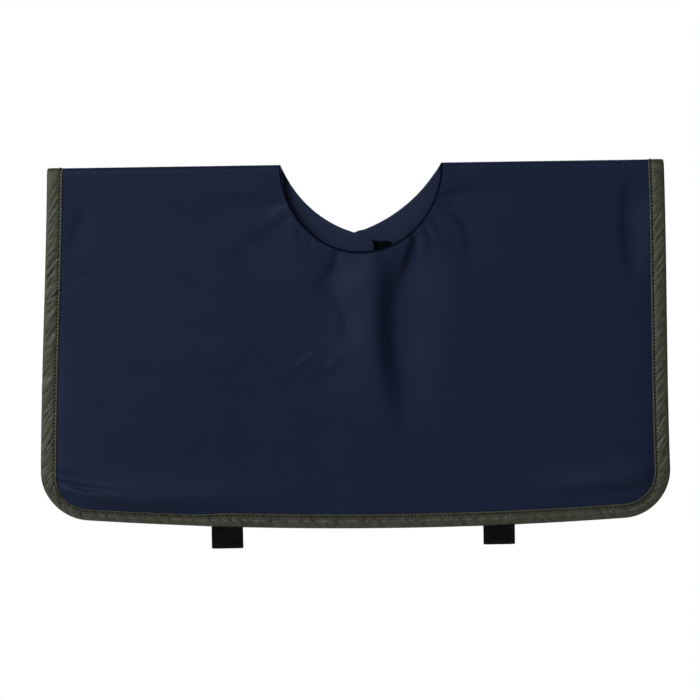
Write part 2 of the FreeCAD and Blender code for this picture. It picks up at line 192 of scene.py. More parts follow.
def edge_line(inset, side=0, shift=0.0):
    """A panel's outer edge as (x, drop), from the left end of the crest round the hem to the right.

    side -1 keeps what the left back half has of it, and +1 what the right one has, up to a line
    that lies shift short of its centre edge.
    """
    corner_x = HALF_HEM - CORNER
    reach = HEM_CURVE - CORNER
    hem_top = HEM_DROP - HEM_CURVE
    corner_drop = hem_top + math.sqrt(reach ** 2 - corner_x ** 2)
    touch = math.degrees(math.asin(corner_x / reach))
    right = np.vstack([
        [(HALF_SHOULDER - inset, 0)],
        arc_points((corner_x, corner_drop), CORNER - inset, 0, 90 - touch, 24),
        arc_points((0, hem_top), HEM_CURVE - inset, 90 - touch, 90, 32)[1:],
    ])
    left = right[:-1] * (-1, 1)
    line = np.vstack([left, right[::-1]])
    if not side:
        return line
    limit = centre_edge(side) + side * shift
    kept = line[(line[:, 0] - limit) * side > 0]
    end = [(limit, hem_top + math.sqrt((HEM_CURVE - inset) ** 2 - limit ** 2))]
    return np.vstack([kept, end] if side < 0 else [end, kept])


def centre_edge(side):
    return BACK_EDGE_LEFT if side < 0 else BACK_EDGE_RIGHT


def front_neck(inset=0):
    """The front's neckline as (x, drop), from left to right."""
    ring = arc_points((0, 0), 1, 180, 0, 121)
    return ring * (NECK_HALF + inset, FRONT_NECK_DROP + inset) + (NECK_X, 0)


def back_opening(side, inset=0):
    """A back half's neckline and centre edge as (x, drop), from the crest to the hem."""
    depth, curve = LEFT_NECK if side < 0 else RIGHT_NECK
    edge = centre_edge(side)
    start = np.array([NECK_X + side * NECK_HALF, 0])
    tip = np.array([edge + side * TIP, depth])
    chord = tip - start
    half = np.hypot(*chord) / 2
    across = np.array([-chord[1], chord[0]]) / (2 * half) * side
    centre = (start + tip) / 2 + across * math.sqrt(curve ** 2 - half ** 2)
    first, last = [math.degrees(math.atan2(*(p - centre)[::-1])) for p in (start, tip)]
    neck = arc_points(centre, curve + inset, first, last, 60)
    nape = arc_points(tip + (0, TIP), TIP - inset, -90, -90 - side * 90, 14)
    foot = edge_line(PANEL_INSET, side, inset)[-1 if side < 0 else 0]
    return np.vstack([neck, nape[1:], [foot]])


def crest_run(x0, x1, v=0.0):
    """A straight line along the sheet at one v."""
    return spaced(np.array([(x0, v), (x1, v)]), COARSE)


def past_v(line, v):
    """What a line has beyond a v, with its cut ends exactly there."""
    out = []
    for here, there in zip(line[:-1], line[1:]):
        if here[1] >= v:
            out.append(here)
        if (here[1] - v) * (there[1] - v) < 0:
            out.append(here + (there - here) * (v - here[1]) / (there[1] - here[1]))
    if line[-1][1] >= v:
        out.append(line[-1])
    return np.array(out)


def before_v(line, v):
    """What a line has short of a v, with its cut ends exactly there."""
    return past_v(line * (1, -1), -v) * (1, -1)


# ---------------------------------------------------------------- creases

# Every broad fold leans the same way: a ridge's slope on this side (x, drop) of its line is the
# long one, and in a valley it is the short one.
LONG_SIDE = (-0.83, -0.56)
LONG_SLOPE = 3.8              # how many times longer the long slope is
LONG_LIMIT = 8 * MM           # the widest part of a fold that still counts for the long slope
LONG_FROM = 3.4 * MM          # narrower creases have two equal slopes
LONG_FULL = 6 * MM
CALM_WIDTH = 3.5 * MM         # how much wider the stiff layers take a crease
CREASE_REACH = 2.6            # widths from its line at which a crease has died out


def smooth_line(rows, count=10):
    """A curve through a few rows of numbers (Catmull-Rom)."""
    rows = np.asarray(rows, float)
    rows = np.vstack([2 * rows[0] - rows[1], rows, 2 * rows[-1] - rows[-2]])
    out = []
    for before, here, there, after in zip(rows, rows[1:], rows[2:], rows[3:]):
        for t in np.linspace(0, 1, count, endpoint=False):
            out.append(0.5 * (2 * here + (there - before) * t
                              + (2 * before - 5 * here + 4 * there - after) * t ** 2
                              + (3 * here - before - 3 * there + after) * t ** 3))
    return np.array(out + [rows[-2]])


def crease(points, rows, calm):
    """How far a crease lifts the sheet at each point (x, drop).

    rows are millimetres: x, drop, height (negative for a valley) and half width. calm runs from
    0, the crease in the cover, to 1, the wider and lower shape of the stiff layers beneath.
    """
    curve = smooth_line(rows) * MM
    curve[:, 2] = np.where(curve[:, 2] > 0, curve[:, 2] * (1 - calm), curve[:, 2])
    line = curve[:, :2]
    reach = (curve[:, 3].max() + LONG_LIMIT * LONG_SLOPE + CALM_WIDTH) * CREASE_REACH
    near = np.all((points > line.min(0) - reach) & (points < line.max(0) + reach), axis=1)
    out = np.zeros(len(points))
    if not near.any():
        return out
    spots = points[near]
    gap, along = near_line(spots, line)
    reaches = lengths_along(line)
    x, drop, height, width = [np.interp(along, reaches, each) for each in curve.T]
    side = (spots - np.column_stack([x, drop])) @ np.array(LONG_SIDE) / np.maximum(gap, 0.1 * MM)
    side = np.clip(side * np.sign(height), 0, 1)
    longer = (LONG_SLOPE - 1) * np.minimum(width, LONG_LIMIT) * ramp(width, LONG_FROM, LONG_FULL)
    width = width + longer * side + CALM_WIDTH * calm
    out[near] = height * np.exp(-(gap / width) ** 2)
    return out


def ripple(points, seed, size, height, count=9):
    """Slow waves in no one direction."""
    draw = random.Random(seed)
    out = np.zeros(len(points))
    for _ in range(count):
        turn = draw.uniform(0, 2 * math.pi)
        pace = 2 * math.pi / (size * draw.uniform(0.7, 1.6))
        across = points[:, 0] * math.cos(turn) + points[:, 1] * math.sin(turn)
        out += np.sin(across * pace + draw.uniform(0, 2 * math.pi))
    return out * height / math.sqrt(count)


# Each gather's size is drawn between these, in millimetres but for the slant.
GATHER_SPACING = (2.5, 7.5)
GATHER_WIDTH = (1.2, 2.4)
GATHER_MIDDLE = (5, 10)       # how far in from the edge it is deepest
GATHER_SPREAD = (4, 7)        # how far it fades out from there
GATHER_SLANT = (-1.9, -0.7)
GATHER_SIGNS = (-1, -1, 0.8)  # two valleys to one lower ridge


class Gathers:
    """The small slanting puckers and ridges that the binding's seam pulls into the panel's edge.

    strengths are rows of (millimetres along the edge, height in millimetres).
    """

    def __init__(self, seed, strengths):
        draw = random.Random(seed)
        self.rows = []
        at, last = 0.0, strengths[-1][0] * MM
        places, amounts = np.array(strengths).T
        while at < last:
            at += draw.uniform(*GATHER_SPACING) * MM
            height = np.interp(at / MM, places, amounts) * draw.choice(GATHER_SIGNS) * MM
            height *= draw.uniform(0.3, 1.0)
            width = draw.uniform(*GATHER_WIDTH) * MM
            slant = draw.uniform(*GATHER_SLANT)
            middle = draw.uniform(*GATHER_MIDDLE) * MM
            spread = draw.uniform(*GATHER_SPREAD) * MM
            self.rows.append((at, height, width, slant, middle, spread))

    def lift(self, along, inset):
        out = np.zeros(len(along))
        for at, height, width, slant, middle, spread in self.rows:
            off = along - at - slant * (inset - STITCH_INSET)
            near = np.abs(off) < 3 * width
            fade = np.exp(-((inset[near] - middle) / spread) ** 2)
            out[near] += height * fade * np.exp(-(off[near] / width) ** 2)
        return out


def soft_floor(values, floor):
    """Values that flatten out towards a floor, so that a valley never reaches what lies behind."""
    return np.where(values < 0, floor * np.tanh(values / floor), values)


def lean_at(drop):
    return LEAN * ramp(drop, 0, 0.33)


FRONT_CREASES = [
    # the long fold below the neckline: a soft ridge, the deep valley beside it, and its branch
    [(18, 101, 2.4, 11), (18, 118, 5.0, 13), (18, 142, 7.0, 15), (17, 185, 7.4, 15), (18, 215, 6.6, 15),
     (22, 242, 5.0, 15), (26, 270, 2.6, 14), (28, 310, 0, 14)],
    [(49, 102, -2.6, 9), (47, 120, -5.4, 12), (46, 145, -7.4, 14), (45, 185, -8.0, 14),
     (46, 215, -7.2, 14), (50, 242, -5.2, 14), (52, 268, -3.0, 13), (52, 310, 0, 14)],
    [(66, 84, -3.0, 4), (61, 104, -4.4, 6), (54, 126, -3.6, 7), (48, 150, 0, 7)],
    [(57, 90, 1.8, 6), (50, 106, 2.6, 7), (44, 126, 2.0, 7), (40, 146, 0, 7)],
    [(76, 92, 0.8, 6), (70, 126, 1.1, 9), (66, 170, 0.6, 12), (64, 220, 0, 14)],
    # the shorter fold left of it, and the dent under its foot
    [(-22, 100, -2.4, 4), (-25, 117, -3.0, 6), (-34, 130, -2.2, 6), (-48, 140, 0, 6)],
    [(-36, 138, -0.6, 5), (-25, 147, -1.6, 6), (-14, 162, -2.0, 7), (-12, 182, -1.8, 7),
     (-14, 206, 0, 7)],
    [(-42, 112, 1.0, 7), (-54, 134, 1.0, 8), (-44, 160, 0.8, 9), (-34, 190, 0, 9)],
    # the crease across the left, and the small zigzag at its end
    [(-352, 214, 0.5, 9), (-230, 217, 0.9, 9), (-150, 218, 1.0, 8), (-118, 217, 0.6, 6), (-98, 216, 0, 4)],
    [(-110, 210, 0, 4), (-96, 212, 0.6, 3.4), (-87, 217, 0.9, 3.4), (-77, 225, 1.0, 3.4),
     (-67, 224, 1.0, 3.4), (-51, 213, 0.9, 3.4), (-44, 222, 1.1, 3.2), (-35, 227, 0.9, 3.4),
     (-20, 215, 0.6, 3.4), (-4, 205, 0, 3.4)],
    [(-100, 236, 0, 7), (-76, 242, -1.7, 7), (-58, 246, -0.9, 7), (-40, 240, -1.7, 7), (-18, 230, 0, 7)],
    # gathers at the right of the neckline
    [(94, 40, -1.6, 2.6), (106, 37, -3.0, 5), (124, 35, -2.8, 7), (146, 36, -1.9, 8),
     (176, 38, -0.8, 10), (215, 40, 0, 10)],
    [(92, 47, -1.5, 2.4), (102, 51, -2.2, 4), (113, 59, -2.2, 5), (122, 72, -2.0, 6),
     (127, 92, -1.5, 7), (123, 122, 0, 7)],
    [(76, 70, -0.9, 2.0), (80, 79, -1.1, 2.6), (84, 90, -0.6, 3), (87, 104, 0, 4)],
    [(84, 62, -0.8, 1.8), (91, 71, -0.8, 2.6), (97, 84, 0, 4)],
    [(70, 78, 0.6, 2.4), (72, 92, 0.6, 3), (74, 108, 0, 4)],
    # gathers at the left of the neckline
    [(-79, 45, -1.4, 2.6), (-90, 43, -2.6, 5), (-108, 41, -2.4, 7), (-132, 40, -1.6, 8),
     (-165, 42, -0.6, 9), (-200, 46, 0, 10)],
    [(-74, 58, -0.8, 3), (-88, 69, -1.4, 6), (-106, 83, -1.4, 7), (-128, 99, -1.0, 8),
     (-152, 117, 0, 8)],
    [(-56, 78, -0.6, 1.8), (-52, 88, -0.8, 2.4), (-46, 99, 0, 3)],
    [(-63, 72, -0.5, 1.8), (-63, 82, -0.6, 2.4), (-60, 94, 0, 3)],
    # the dips down both sides
    [(302, 18, -0.6, 5), (301, 44, -3.2, 6), (300, 78, -3.8, 6), (304, 112, -3.0, 6),
     (310, 142, 0, 6)],
    [(-298, 34, 0, 5), (-306, 60, -1.0, 5), (-316, 84, -1.0, 5), (-325, 106, 0, 5)],
    [(-328, 129, -0.6, 3), (-310, 124, -0.7, 3.4), (-290, 117, 0, 4)],
    [(-334, 136, -0.4, 3), (-318, 136, -0.5, 3), (-298, 137, 0, 4)],
    [(-324, 150, -0.5, 5), (-312, 178, -0.6, 5), (-308, 204, 0, 6)],
    # wrinkles that run in from the lower left corner
    [(-336, 339, -2.6, 2.4), (-326, 343, -3.4, 2.8), (-314, 348, -2.4, 3.2), (-298, 352, 0, 4)],
    [(-336, 350, -2.8, 2.4), (-326, 354, -4.0, 2.6), (-308, 358, -3.4, 3), (-281, 362, -2.4, 3.2),
     (-248, 365, -1.2, 4), (-212, 368, 0, 5)],
    [(-326, 360, 2.4, 4), (-300, 367, 5.4, 5), (-260, 371, 6.6, 6), (-205, 374, 5.4, 6),
     (-150, 376, 3.2, 7), (-80, 378, 0, 7)],
    # the lower right corner
    [(180, 366, 0.2, 6), (224, 360, 2.8, 6), (262, 356, 4.6, 6), (300, 353, 4.4, 6), (330, 348, 2.0, 6)],
    [(196, 379, -0.6, 6), (236, 374, -2.2, 6), (276, 370, -3.6, 6), (312, 366, -3.0, 6)],
]


FRONT_GATHERS = Gathers(5, [
    (0, 0.5), (60, 1.0), (85, 1.7), (150, 1.7), (200, 1.2), (330, 1.3), (400, 1.6), (480, 1.9),
    (800, 1.7), (860, 1.2), (1080, 1.1), (1160, 1.2), (1230, 0.6), (1350, 0.9), (1500, 0.2)])
BACK_GATHERS = Gathers(8, [(0, 0.2), (90, 1.2), (800, 1.5), (1410, 1.2), (1500, 0.2)])


def pulled_edge(points, gathers):
    """The gathers' lift at each point, and how far each is in from the outer edge."""
    inset, along = near_line(points, edge_line(0))
    return gathers.lift(along, inset) * ramp(points[:, 1], 0.009, 0.024), inset


def hem_curl(points, inset):
    """How far the front's hem curls back behind its binding; less where the loops are sewn on."""
    x, drop = points.T
    at_loop = sum(np.exp(-((x - middle) / LOOP_REACH) ** 2) for middle in LOOPS)
    depth = (4.6 + 2.0 * ramp(-x, 0.15, 0.21)) * (1 - 0.6 * at_loop) * MM
    return depth * ramp(drop, *HEM_ZONE) * np.maximum(1 - inset / HEM_CURL_REACH, 0) ** 2


def freedom(inset, reach):
    """0 at the binding, which holds the sheet still, rising to 1 away from it."""
    return 1 - np.exp(-(np.maximum(inset - BINDING_WIDTH, 0) / reach) ** 1.3)


def front_bulge(points, calm):
    """How far the front stands out at each point (x, drop)."""
    drop = points[:, 1]
    spots = points + np.column_stack([lean_at(drop), np.zeros(len(points))])
    out = ripple(spots, 3, 0.21, 0.9 * MM)
    belly = ramp(drop, 0.03, 0.13) * (1 - 0.5 * ramp(drop, 0.28, 0.38))
    out += 1.9 * MM * belly
    for rows in FRONT_CREASES:
        out += crease(spots, rows, calm)
    pulled, inset = pulled_edge(points, FRONT_GATHERS)
    free = freedom(inset, 8 * MM)
    out *= 0.2 + 0.8 * free
    left_low = ramp(-spots[:, 0], 0.02, 0.18) * ramp(drop, 0.31, 0.375)
    right_low = ramp(spots[:, 0], 0.19, 0.29) * ramp(drop, 0.32, 0.37)
    out += (3.6 * left_low + 2.6 * right_low) * MM * free
    out *= ramp(drop, 0.007, 0.034)
    return soft_floor(out, DEEPEST_FRONT) + pulled - hem_curl(points, inset)


def back_bulge(seed, dip):
    """The slow waves of a back half; by its neckline it dips towards the front."""
    def bulge(points, calm):
        drop = points[:, 1]
        out = ripple(points, seed, 0.19, 1.3 * MM) + 1.0 * MM
        pulled, inset = pulled_edge(points, BACK_GATHERS)
        out *= 0.2 + 0.8 * freedom(inset, 9 * MM)
        out *= ramp(np.abs(points[:, 0] - NECK_X), 0.038, 0.13) * ramp(drop, 0.014, 0.06)
        beside = np.exp(-((points[:, 0] + LEFT_DIP_X) / (26 * MM)) ** 2)
        beside *= ramp(drop, 0.004, 0.03) * (1 - ramp(drop, 0.1, 0.2))
        return soft_floor(out, DEEPEST_BACK) + pulled - dip * beside
    return bulge


class Drape:
    """A flat sheet hung over the shoulder fold. side is -1 for the front and +1 for the back."""

    def __init__(self, side, radius, bulge):
        self.side = side
        self.radius = radius
        self.bulge = bulge

    def place(self, flat, offset, calm=0.0):
        """Where points (x, v) lie, at an offset out from the panel's outer face."""
        turn = np.clip(flat[:, 1] / self.radius, 0, math.pi / 2)
        drop = self.radius * (1 - np.cos(turn))
        drop = drop + np.maximum(flat[:, 1] - self.radius * math.pi / 2, 0)
        spots = np.column_stack([flat[:, 0], drop])
        if np.ndim(calm):
            lift = self.bulge(spots, 0.0) * (1 - calm) + self.bulge(spots, 1.0) * calm
        else:
            lift = self.bulge(spots, calm)
        lift = lift + offset
        return np.column_stack([
            flat[:, 0] + lean_at(drop),
            self.side * np.sin(turn) * (self.radius + lift),
            CREST - drop * (1 + SKEW * flat[:, 0]) + np.cos(turn) * lift,
        ])


FRONT = Drape(-1, FRONT_FOLD, front_bulge)
LEFT = Drape(1, FRONT_FOLD, back_bulge(11, 4.5 * MM))
RIGHT = Drape(1, RIGHT_FOLD, back_bulge(23, 0))


# ---------------------------------------------------------------- meshes

def new_object(name, verts, faces, material, flat=None, tidy=False):
    """A smooth mesh object. flat gives each vertex its place on the flat cloth, for the weave."""
    mesh = bpy.data.meshes.new(name)
    mesh.from_pydata([tuple(p) for p in verts], [], faces)
    mesh.update()
    item = bpy.data.objects.new(name, mesh)
    bpy.context.scene.collection.objects.link(item)
    mesh.materials.append(material)
    mesh.polygons.foreach_set("use_smooth", [True] * len(mesh.polygons))
    if flat is not None:
        layer = mesh.uv_layers.new(name="flat")
        corners = np.zeros(len(mesh.loops), np.int32)
        mesh.loops.foreach_get("vertex_index", corners)
        layer.data.foreach_set("uv", np.asarray(flat, np.float32)[corners].ravel())
    if tidy:
        work = bmesh.new()
        work.from_mesh(mesh)
        bmesh.ops.recalc_face_normals(work, faces=work.faces)
        work.to_mesh(mesh)
        work.free()
    return item


def inside(points, outline):
    """Which points lie inside a closed outline."""
    x, y = points.T
    hit = np.zeros(len(points), bool)
    for (x0, y0), (x1, y1) in zip(outline, np.roll(outline, -1, axis=0)):
        if y0 != y1:
            crosses = (y0 > y) != (y1 > y)
            hit ^= crosses & (x < (x1 - x0) * (y - y0) / (y1 - y0) + x0)
    return hit


def closed(line):
    return np.vstack([line, line[:1]])


def lattice(outline, gap, wanted=None):
    """A triangular lattice inside an outline, a little clear of it."""
    low, high = outline.min(0), outline.max(0)
    step = gap * math.sqrt(3) / 2
    rows = []
    for row, y in enumerate(np.arange(low[1] + step / 2, high[1], step)):
        xs = np.arange(low[0] + gap * (0.25 + 0.5 * (row % 2)), high[0], gap)
        rows.append(np.column_stack([xs, np.full(len(xs), y)]))
    points = np.vstack(rows)
    if wanted is not None:
        points = points[wanted(points)]
    points = points[inside(points, outline)]
    return points[near_line(points, closed(outline))[0] > gap * 0.55]


class Blank:
    """A cut piece of flat sheet, triangulated once and used for one layer or more.

    turned is the stretch of its outline where the sheet is turned over and rounded.
    """

    def __init__(self, outline, gap, fine=None, turned=None):
        if fine is None:
            inner = lattice(outline, gap)
        else:
            inner = np.vstack([lattice(outline, gap, lambda p: ~fine(p)), lattice(outline, FINE, fine)])
        if turned is not None:
            inner = inner[near_line(inner, turned)[0] > TURN_ROUND * 2.4]
            inner = np.vstack([inner, *self.beside(turned, outline)])
        points = np.vstack([outline, inner])
        ring = list(range(len(outline)))
        flat, _, faces, *_ = delaunay_2d_cdt([Vector(p) for p in points], [], [ring], 1, 1e-7)
        self.flat = np.array([tuple(p) for p in flat])
        self.faces = np.array([tuple(f) for f in faces])
        self.outline = outline
        self.turned = turned
        self.area = self.measured()

    @staticmethod
    def beside(turned, outline):
        """Rows of points close to an edge that turns over, where the sheet curves most."""
        steps = np.gradient(turned, axis=0)
        across = np.column_stack([-steps[:, 1], steps[:, 0]])
        across /= np.linalg.norm(across, axis=1)[:, None]
        for share in (0.14, 0.45, 1.0, 1.8):
            for way in (-1, 1):
                row = turned + across * share * TURN_ROUND * way
                row = row[inside(row, outline)]
                clear = near_line(row, closed(outline))[0]
                yield row[clear > share * TURN_ROUND * 0.7]

    def measured(self):
        a, b, c = [self.flat[self.faces[:, k]] for k in range(3)]
        return float(np.abs(np.cross(b - a, c - a)).sum() / 2)

    def size(self):
        return tuple(float(n) for n in self.flat.max(0) - self.flat.min(0))

    def drawn_in(self):
        """How far each point is drawn towards the middle of the panel at a turned edge."""
        if self.turned is None:
            return np.zeros(len(self.flat))
        gap = np.minimum(near_line(self.flat, self.turned)[0], TURN_ROUND)
        drawn = TURN_ROUND - np.sqrt(TURN_ROUND ** 2 - (TURN_ROUND - gap) ** 2)
        return np.minimum(drawn, TURN_ROUND - EDGE_GAP)

    def rim(self):
        """The edges that only one face has, in that face's direction."""
        edges = {(face[k], face[k - 2]) for face in self.faces.tolist() for k in range(3)}
        return [(a, b) for a, b in edges if (b, a) not in edges]


def sheet_layer(name, blank, drape, depths, material, trimmed, calm):
    """One closed layer of a panel, between two depths below its outer face."""
    middle = PANEL / 2
    drawn = blank.drawn_in()
    inset = near_line(blank.flat, flattened(edge_line(0), drape.radius))[0]
    if drape is FRONT:
        inset = inset / tape_share(*blank.flat.T)
    drawn = np.maximum(drawn, trimmed * (1 - ramp(inset, BINDING_WIDTH - 2.5 * MM, BINDING_WIDTH)))
    shells = []
    for depth in depths:
        if depth < middle:
            shells.append(drape.place(blank.flat, -np.minimum(depth + drawn, middle), calm))
        else:
            shells.append(drape.place(blank.flat, -np.maximum(depth - drawn, middle), calm))
    count = len(blank.flat)
    top = blank.faces[:, ::drape.side]
    rim = [(a, b) if drape.side > 0 else (b, a) for a, b in blank.rim()]
    faces = [tuple(f) for f in np.vstack([top, top[:, ::-1] + count]).tolist()]
    faces += [(b, a, a + count, b + count) for a, b in rim]
    item = new_object(name, np.vstack(shells), faces, material, np.vstack([blank.flat] * 2))
    settle_normals(item, blank.flat, top, drape, shells, drawn > 0.01 * MM)
    return item


def settle_normals(item, flat, faces, drape, shells, turned):
    """Smooth normals, and on the crest those of the fold itself, so that the pieces meet unseen."""
    level = (flat[:, 1] < BAND + 0.5 * MM) & ~turned
    turn = flat[:, 1] / drape.radius
    fold = np.column_stack([np.zeros(len(flat)), drape.side * np.sin(turn), np.cos(turn)])
    normals = []
    for shell, way in zip(shells, (1, -1)):
        a, b, c = [shell[faces[:, k]] for k in range(3)]
        across = np.cross(b - a, c - a)
        sums = np.zeros_like(shell)
        for k in range(3):
            np.add.at(sums, faces[:, k], across)
        sums /= np.linalg.norm(sums, axis=1)[:, None] + 1e-12
        sums[level] = fold[level]
        normals.append(sums * way)
    item.data.normals_split_custom_set_from_vertices([tuple(n) for n in np.vstack(normals)])


# ---------------------------------------------------------------- trims and threads

def tape_share(x, drop):
    """How much of the binding's width is left on the front of the hem, where it rolls under."""
    rolled = 0.09 + 0.18 * ramp(-x, 0.13, 0.19)
    return 1 - rolled * ramp(drop, *TAPE_ROLLS)


class Rail:
    """A line on the flat sheet that a trim follows, with the way in from it."""

    def __init__(self, line, drape, gap=1.3 * MM):
        self.drape = drape
        self.points = spaced(flattened(line, drape.radius), gap)
        self.along = lengths_along(self.points)
        run = np.gradient(self.points, axis=0)
        self.inward = np.column_stack([run[:, 1], -run[:, 0] * ramp(self.points[:, 1], 0, 0.02)])

    def at(self, along, inset):
        """Points (x, v) that far along the rail and that far in from it."""
        spot, way = [np.column_stack([np.interp(along, self.along, each[:, k]) for k in (0, 1)])
                     for each in (self.points, self.inward)]
        if self.drape is FRONT:
            inset = inset * tape_share(*spot.T)
        return spot + way / np.linalg.norm(way, axis=1)[:, None] * inset[:, None]


def ring_faces(count, ring, caps=True):
    """Quads that join rings of points in a row, and a face over each end."""
    faces = []
    for row in range(count - 1):
        for k in range(ring):
            a, b = row * ring + k, row * ring + (k + 1) % ring
            faces.append((a, b, b + ring, a + ring))
    if caps:
        faces.append(tuple(range(ring)))
        faces.append(tuple(range((count - 1) * ring, count * ring)))
    return faces


def swept(name, rail, section, material):
    """A trim of one closed section, rows of (inset, offset) in millimetres, all along a rail."""
    section = np.array(section) * MM
    count, ring = len(rail.along), len(section)
    along = np.repeat(rail.along, ring)
    inset, offset = np.tile(section, (count, 1)).T
    spots = rail.at(along, inset)
    pressed = 0.25 + 0.75 * ramp(spots[:, 1], 3 * MM, 18 * MM)
    if rail.drape is FRONT:
        hollow = np.exp(-((inset - HEM_HOLLOW) / (2.6 * MM)) ** 2)
        pressed = pressed * (1 - 1.15 * hollow * ramp(spots[:, 1], *HEM_ZONE))
    verts = rail.drape.place(spots, np.where(offset > 0, offset * pressed, offset))
    round_it = np.tile(lengths_along(section), count)
    flat = np.column_stack([along, round_it])
    return new_object(name, verts, ring_faces(count, ring), material, flat, tidy=True)


def threads(name, starts, ends, ups, thickness, bow, material, share=1.0, sides=5, rings=7):
    """Short lengths of thread from each start to its end, bowed up by a height between them.

    share stops each one part of the way along its bow, which makes a hook.
    """
    reach = ends - starts
    ups = ups - reach * (np.sum(ups * reach, 1) / np.sum(reach * reach, 1))[:, None]
    ups /= np.linalg.norm(ups, axis=1)[:, None]
    across = np.cross(reach, ups)
    across /= np.linalg.norm(across, axis=1)[:, None]
    shape = []
    for t in np.linspace(0, 1, rings):
        centre = starts + reach * t * share + ups * bow * math.sin(math.pi * t * share)
        slope = math.pi * bow * math.cos(math.pi * t * share)
        way = reach + ups * slope
        out = np.cross(across, way)
        out /= np.linalg.norm(out, axis=1)[:, None]
        radius = thickness / 2 * (0.45 if t in (0, 1) else 1)
        for turn in np.linspace(0, 2 * math.pi, sides, endpoint=False):
            shape.append(centre + (across * math.cos(turn) + out * math.sin(turn)) * radius)
    verts = np.stack(shape, axis=1).reshape(-1, 3)
    one = ring_faces(rings, sides)
    each = rings * sides
    faces = [tuple(k + index * each for k in face) for index in range(len(starts)) for face in one]
    along = np.repeat(np.linspace(0, 1, rings), sides)
    flat = np.tile(np.column_stack([along, np.zeros(each)]), (len(starts), 1))
    return new_object(name, verts, faces, material, flat, tidy=True)


def seam(rail, inset, surface, pitch, length, seed):
    """Where the stitches along a rail start and end, and which way is up from the cloth."""
    draw = random.Random(seed)
    count = int(rail.along[-1] / pitch)
    middle = (np.arange(count) + 0.5) * rail.along[-1] / count
    middle = middle + [draw.uniform(-0.06, 0.06) * pitch for _ in range(count)]
    insets = inset + np.array([draw.uniform(-0.12, 0.12) * MM for _ in range(count)])
    tops = [rail.drape.place(rail.at(middle + half, insets), surface)
            for half in (-length / 2, length / 2)]
    raised = rail.drape.place(rail.at(middle, insets), surface + math.copysign(MM, surface + PANEL / 2))
    ups = raised - (tops[0] + tops[1]) / 2
    return tops[0], tops[1], ups


# ---------------------------------------------------------------- materials

class Paint:
    """A material built up from nodes, on the flat coordinates of the cloth."""

    def __init__(self, name, finish):
        self.material = bpy.data.materials.new(name)
        self.material.use_nodes = True
        self.tree = self.material.node_tree
        self.shader = self.tree.nodes["Principled BSDF"]
        for socket, value in finish.items():
            self.shader.inputs[socket].default_value = value
        self.flat = self.node("ShaderNodeUVMap", {}, uv_map="flat").outputs["UV"]

    def node(self, kind, inputs, **settings):
        made = self.tree.nodes.new(kind)
        for key, value in settings.items():
            setattr(made, key, value)
        for socket, value in inputs.items():
            if isinstance(value, bpy.types.NodeSocket):
                self.tree.links.new(value, made.inputs[socket])
            else:
                made.inputs[socket].default_value = value
        return made

    def math(self, operation, *values):
        return self.node("ShaderNodeMath", dict(enumerate(values)), operation=operation).outputs[0]

    def noise(self, size, detail=3.0, stretch=(1, 1)):
        """Cloudy noise whose spots are about that large."""
        scaled = self.node("ShaderNodeMapping", {
            "Vector": self.flat, "Scale": (stretch[0] / size, stretch[1] / size, 1)}).outputs[0]
        return self.node("ShaderNodeTexNoise", {"Vector": scaled, "Scale": 1.0, "Detail": detail},
                         noise_dimensions="2D").outputs["Fac"]

    def wave(self, axis, pitch, warp=None):
        """A wave across the cloth, -1 to 1, that repeats at a pitch."""
        apart = self.node("ShaderNodeSeparateXYZ", {"Vector": self.flat}).outputs[axis]
        if warp is not None:
            apart = self.math("ADD", apart, warp)
        return self.math("SINE", self.math("MULTIPLY", apart, 2 * math.pi / pitch))

    def weave(self, across, along):
        return self.math("MULTIPLY", self.wave(0, across), self.wave(1, along))

    def ramped(self, value, stops):
        made = self.node("ShaderNodeValToRGB", {"Fac": value})
        points = made.color_ramp.elements
        while len(points) < len(stops):
            points.new(0.5)
        for point, (place, colour) in zip(points, stops):
            point.position = place
            point.color = (*colour, 1) if len(colour) == 3 else (colour[0],) * 3 + (1,)
        return made.outputs["Color"]

    def colour(self, value, *stops):
        self.tree.links.new(self.ramped(value, stops), self.shader.inputs["Base Color"])

    def roughness(self, value, low, high):
        self.tree.links.new(self.ramped(value, [(0.3, (low,)), (0.7, (high,))]),
                            self.shader.inputs["Roughness"])

    def bumps(self, *layers):
        """Layers of bump, each (height, depth in millimetres), one over another."""
        normal = None
        for height, depth in layers:
            sockets = {"Height": height, "Strength": 1.0, "Distance": depth * MM}
            if normal is not None:
                sockets["Normal"] = normal
            normal = self.node("ShaderNodeBump", sockets).outputs["Normal"]
        self.tree.links.new(normal, self.shader.inputs["Normal"])


STRAND_PITCH = 0.12           # of a thread's twist, as a share of one stitch


def coated_cloth(name, dark, light, gloss):
    """Close-woven nylon with a thin coating: a fine weave, faint clouding and small crumples."""
    paint = Paint(name, {"Specular IOR Level": gloss})
    cloud = paint.noise(38 * MM)
    paint.colour(cloud, (0.3, dark), (0.7, light))
    paint.roughness(paint.noise(12 * MM), 0.46, 0.54)
    paint.bumps((paint.noise(30 * MM, 2), 0.16), (paint.noise(5 * MM, 2), 0.05),
                (paint.weave(0.62 * MM, 0.56 * MM), 0.03))
    return paint.material


def binding_cloth():
    """Ribbed cotton tape with cloudy colour."""
    paint = Paint("binding_tape", {"Specular IOR Level": 0.3, "Roughness": 0.4})
    cloud = paint.noise(7 * MM, 4, (1, 0.6))
    paint.colour(cloud, (0.25, (0.027, 0.029, 0.017)), (0.75, (0.052, 0.055, 0.035)))
    warp = paint.math("MULTIPLY", paint.noise(3 * MM), 0.25 * MM)
    paint.bumps((paint.noise(5 * MM, 2), 0.12), (paint.wave(0, 0.85 * MM, warp), 0.04),
                (paint.wave(1, 0.5 * MM), 0.02))
    return paint.material


